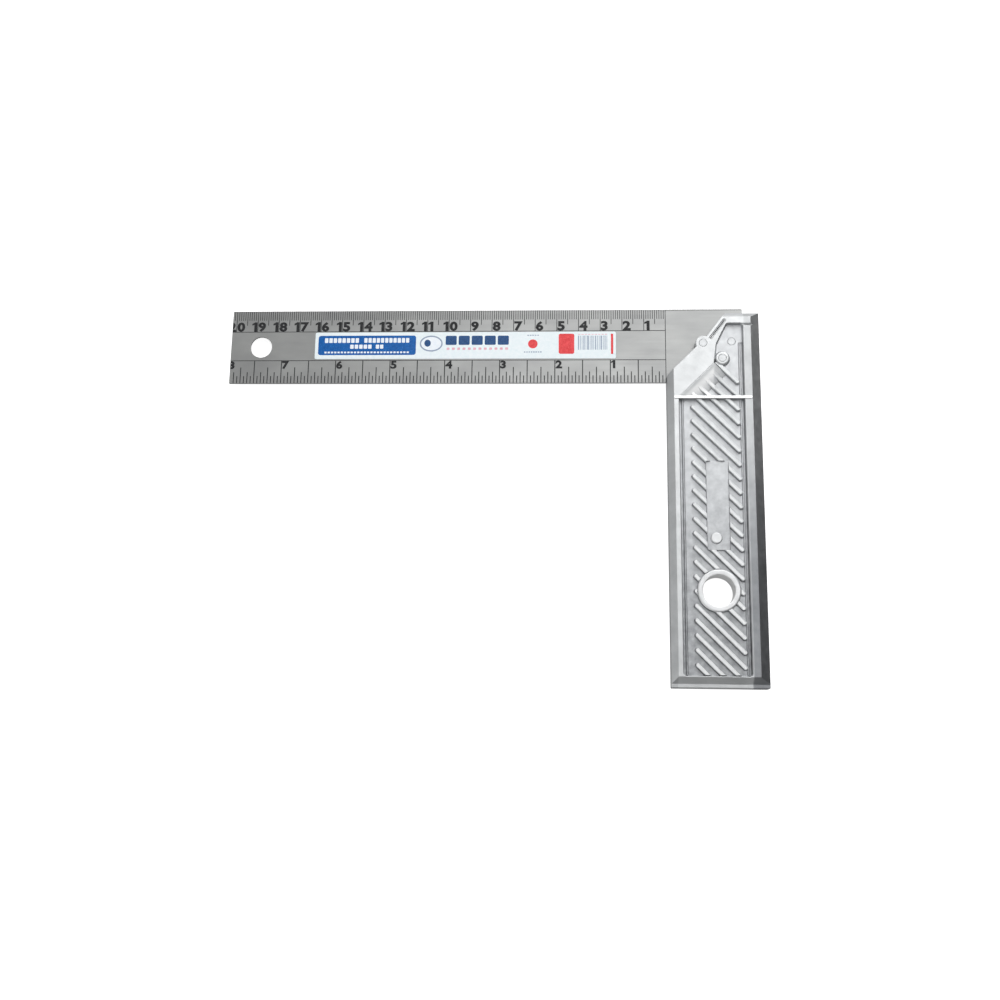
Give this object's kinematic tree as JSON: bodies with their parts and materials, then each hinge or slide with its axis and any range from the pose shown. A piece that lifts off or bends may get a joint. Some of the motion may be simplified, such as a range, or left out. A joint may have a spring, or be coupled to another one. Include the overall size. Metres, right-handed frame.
{
  "type": "try square",
  "caption": "Try square: a flat graduated steel blade set at a right angle in a thick ribbed die-cast stock with a mitred shoulder and hanging holes.",
  "frame": {"origin": "the inner corner, where the blade's inner edge meets the stock's working face, at the middle of the thickness", "axes": "+X points from the working face into the stock, the blade runs along -X; +Y points from the blade's inner edge to its outer edge, the stock hangs along -Y; +Z is out of the labelled front"},
  "size_m": [0.244, 0.1731, 0.0123],
  "materials": {
    "stock_casting": "satin",
    "blade_steel": "satin",
    "rivet_steel": "satin",
    "label_film": "gloss"
  },
  "bodies": {
    "root": {"stock": "stock_casting", "blade": "blade_steel", "rivet_shoulder": "rivet_steel", "rivet_inner": "rivet_steel", "rivet_outer": "rivet_steel", "label": "label_film"}
  },
  "joints": []
}
